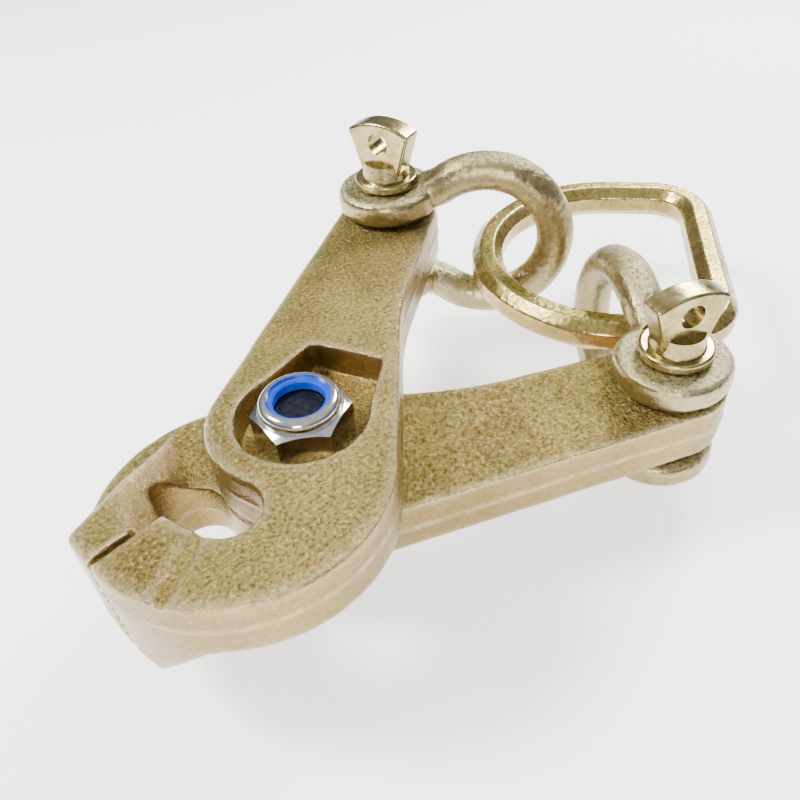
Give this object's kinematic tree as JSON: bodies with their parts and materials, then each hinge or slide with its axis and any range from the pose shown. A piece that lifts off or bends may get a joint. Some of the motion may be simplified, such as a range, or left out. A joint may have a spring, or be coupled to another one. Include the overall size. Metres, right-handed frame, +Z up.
{
  "type": "scissor pull clamp",
  "caption": "Self-tightening scissor pull clamp: two pivoted toothed jaw arms joined by bow shackles to a D-shaped pull ring.",
  "frame": {"origin": "centre of the closed bite: between the two jaws, on the plane where the two arms meet", "axes": "+X along the clamp from the bite to the pull ring, +Z up along the pivot bolt towards its nut; the jaws meet on y = 0"},
  "size_m": [0.2472, 0.1412, 0.0873],
  "materials": {
    "forging": "yellow zinc plated steel forging, shot-blast grain",
    "shackle": "yellow zinc plated steel forging, pale and grainy",
    "shackle_pin": "yellow zinc plated steel, smooth",
    "ring": "yellow zinc plated steel forging",
    "nut": "bright zinc plated steel",
    "bolt": "dark steel",
    "nylon": "blue nylon"
  },
  "bodies": {
    "base": {"lower_arm": "forging", "pivot_bolt": "bolt", "pivot_nut": "nut", "nylon_insert": "nylon"},
    "upper_arm": {"upper_arm": "forging"},
    "lower_shackle": {"lower_shackle_bow": "shackle"},
    "lower_pin": {"lower_shackle_pin": "shackle_pin"},
    "upper_shackle": {"upper_shackle_bow": "shackle"},
    "upper_pin": {"upper_shackle_pin": "shackle_pin"},
    "ring": {"pull_ring": "ring"}
  },
  "joints": [
    {"name": "jaw_open", "type": "hinge", "parent": "base", "child": "upper_arm", "pos_m": [0.05, 0, 0], "axis": [0, 0, 1], "range_deg": [0, 20]},
    {"name": "lower_shackle_swing", "type": "hinge", "parent": "base", "child": "lower_shackle", "pos_m": [0.1365, -0.05405, 0], "axis": [0, 0, 1], "range_deg": [0, 21]},
    {"name": "upper_shackle_swing", "type": "hinge", "parent": "upper_arm", "child": "upper_shackle", "pos_m": [0.1365, 0.05405, 0], "axis": [0, 0, 1], "range_deg": [-24, 0]},
    {"name": "ring_swing", "type": "hinge", "parent": "lower_shackle", "child": "ring", "pos_m": [0.1695, -0.00863, 0], "axis": [0, 0, 1], "range_deg": [0, 42]},
    {"name": "lower_pin_turn", "type": "hinge", "parent": "lower_shackle", "child": "lower_pin", "pos_m": [0.1365, -0.05405, 0], "axis": [0, 0, 1], "continuous": true},
    {"name": "upper_pin_turn", "type": "hinge", "parent": "upper_shackle", "child": "upper_pin", "pos_m": [0.1365, 0.05405, 0], "axis": [0, 0, 1], "continuous": true}
  ],
  "couplings": [
    {"joint": "lower_shackle_swing", "follows": "jaw_open", "ratio": 1.03},
    {"joint": "upper_shackle_swing", "follows": "jaw_open", "ratio": -1.19},
    {"joint": "ring_swing", "follows": "jaw_open", "ratio": 2.09}
  ]
}
